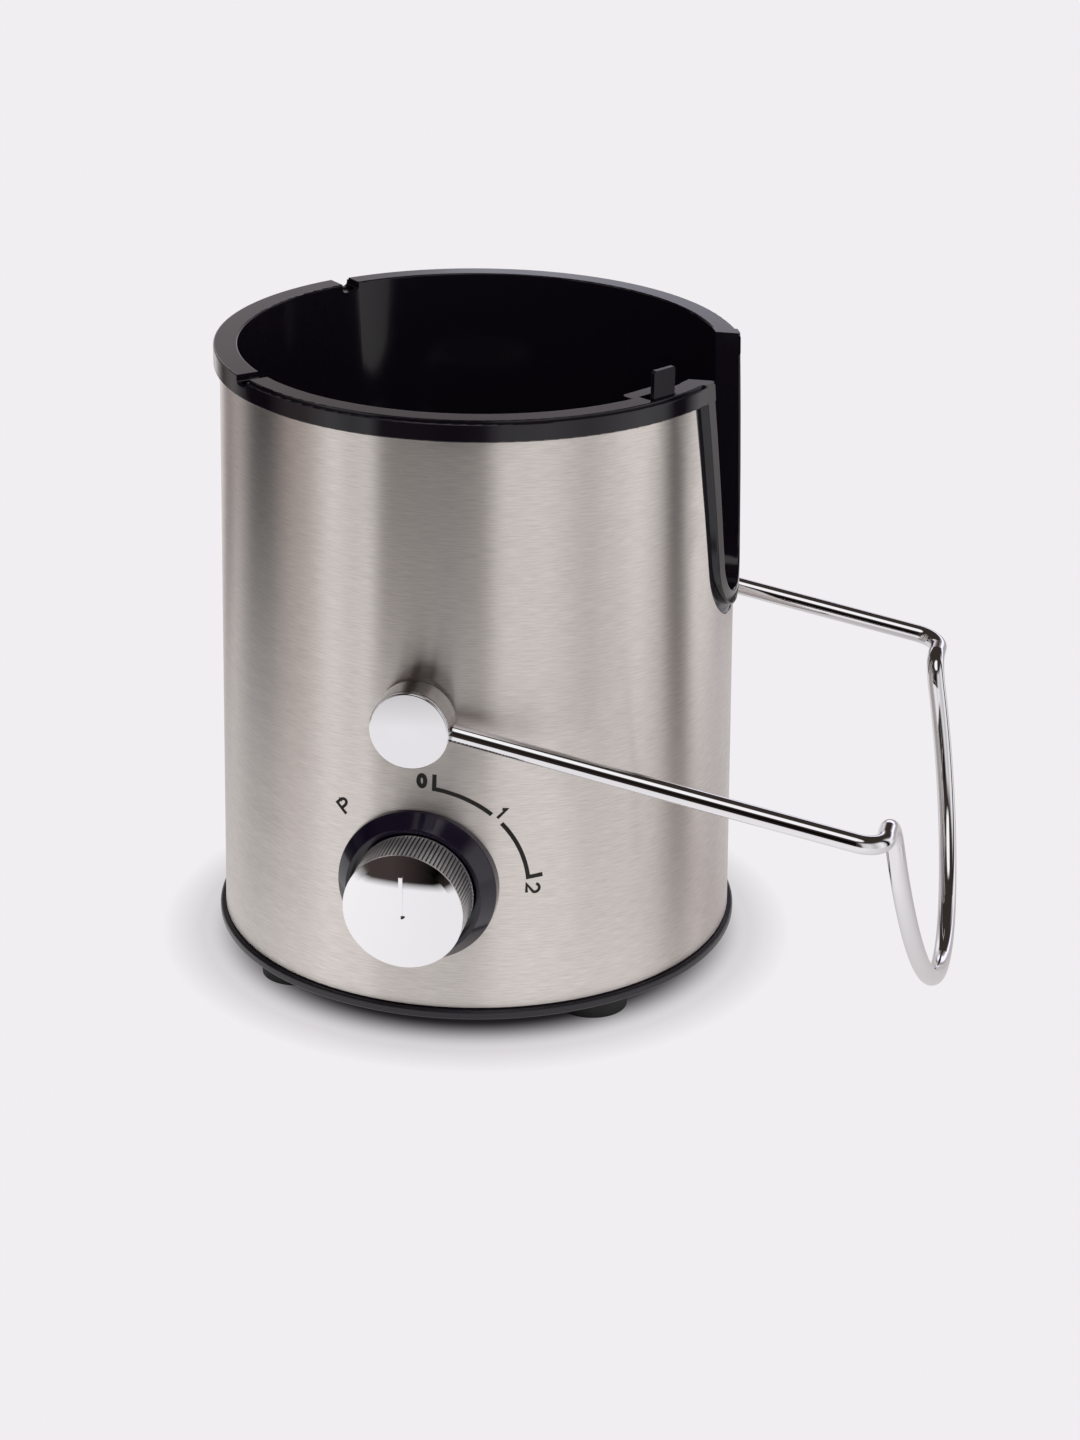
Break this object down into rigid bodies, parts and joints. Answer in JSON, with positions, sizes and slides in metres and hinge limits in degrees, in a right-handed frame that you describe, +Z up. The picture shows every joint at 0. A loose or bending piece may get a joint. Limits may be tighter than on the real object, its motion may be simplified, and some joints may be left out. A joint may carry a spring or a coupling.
{
  "type": "centrifugal juicer motor base",
  "caption": "Steel-shelled motor base of a centrifugal juicer, with a slotted black chamber, a wire locking bail, a speed knob and a lid interlock.",
  "frame": {"origin": "on the body's vertical axis, in the plane that the four feet stand on", "axes": "+Z up along the drive shaft; -Y is the front, with the knob; +X is the side with the tall slot and the lowered bail"},
  "size_m": [0.2553, 0.2069, 0.2207],
  "materials": {
    "shell_steel": "brushed stainless steel, grain running round the body",
    "gloss_black": "high-gloss black moulding",
    "bezel_black": "gloss black moulding, slightly blue",
    "base_black": "satin charcoal plastic",
    "foot_rubber": "black rubber",
    "chrome_plate": "polished chrome plating",
    "satin_chrome": "turned and satin-plated metal",
    "cast_aluminium": "as-cast aluminium",
    "core_steel": "varnished steel laminations",
    "plain_steel": "zinc-plated steel",
    "copper_wire": "enamelled copper wire",
    "brass_part": "plain brass",
    "carbon_block": "pressed carbon",
    "drive_nylon": "natural glass-filled nylon",
    "switch_plastic": "black phenolic",
    "white_plastic": "white nylon",
    "bush_acetal": "natural acetal",
    "capacitor_box": "yellow potted box"
  },
  "bodies": {
    "root": {"outer_shell": "shell_steel", "chamber_liner": "gloss_black", "base_tray": "base_black", "base_screws": "plain_steel", "foot_rear_right": "foot_rubber", "foot_rear_left": "foot_rubber", "foot_front_left": "foot_rubber", "foot_front_right": "foot_rubber", "stator": "core_steel", "field_windings": "copper_wire", "upper_bracket": "cast_aluminium", "lower_bracket": "cast_aluminium", "upper_bearing": "plain_steel", "lower_bearing": "plain_steel", "motor_grommets": "foot_rubber", "mount_screws": "plain_steel", "through_bolts": "plain_steel", "brush_holders": "brass_part", "carbon_brushes": "carbon_block", "brush_springs": "plain_steel", "shaft_seal": "foot_rubber", "rotary_switch": "switch_plastic", "switch_nut": "plain_steel", "switch_bracket": "plain_steel", "knob_bezel": "bezel_black", "pivot_bush_front": "bush_acetal", "pivot_bush_rear": "bush_acetal", "micro_switch": "switch_plastic", "plunger_spring": "plain_steel", "cord_gland": "base_black", "terminal_block": "white_plastic", "terminal_screws": "brass_part", "suppression_capacitor": "capacitor_box", "capacitor_clip": "plain_steel"},
    "rotor": {"motor_shaft": "plain_steel", "armature_core": "core_steel", "armature_windings": "copper_wire", "commutator": "copper_wire", "cooling_fan": "switch_plastic", "drive_coupling": "drive_nylon"},
    "knob": {"speed_knob": "chrome_plate", "switch_shaft": "plain_steel"},
    "bail": {"bail_wire": "chrome_plate", "pivot_boss_front": "satin_chrome", "pivot_boss_rear": "satin_chrome", "pivot_cap_front": "chrome_plate", "pivot_cap_rear": "chrome_plate", "pivot_washers": "plain_steel", "pivot_screws": "plain_steel"},
    "interlock": {"interlock_rod": "gloss_black", "micro_button": "white_plastic"}
  },
  "joints": [
    {"name": "bail_hinge", "type": "hinge", "parent": "root", "child": "bail", "pos_m": [0, 0, 0.1129], "axis": [0, -1, 0], "range_deg": [0, 100.77]},
    {"name": "knob_turn", "type": "hinge", "parent": "root", "child": "knob", "pos_m": [0, 0, 0.0545], "axis": [0, 1, 0], "range_deg": [-45, 90]},
    {"name": "interlock_press", "type": "slide", "parent": "root", "child": "interlock", "axis": [0, 0, -1], "range_m": [0, 0.0035], "stiffness_N_per_m": 300, "springref_m": -0.004, "deforming": ["plunger_spring"]},
    {"name": "motor_spin", "type": "hinge", "parent": "root", "child": "rotor", "pos_m": [0, 0, 0], "axis": [0, 0, 1], "continuous": true}
  ]
}
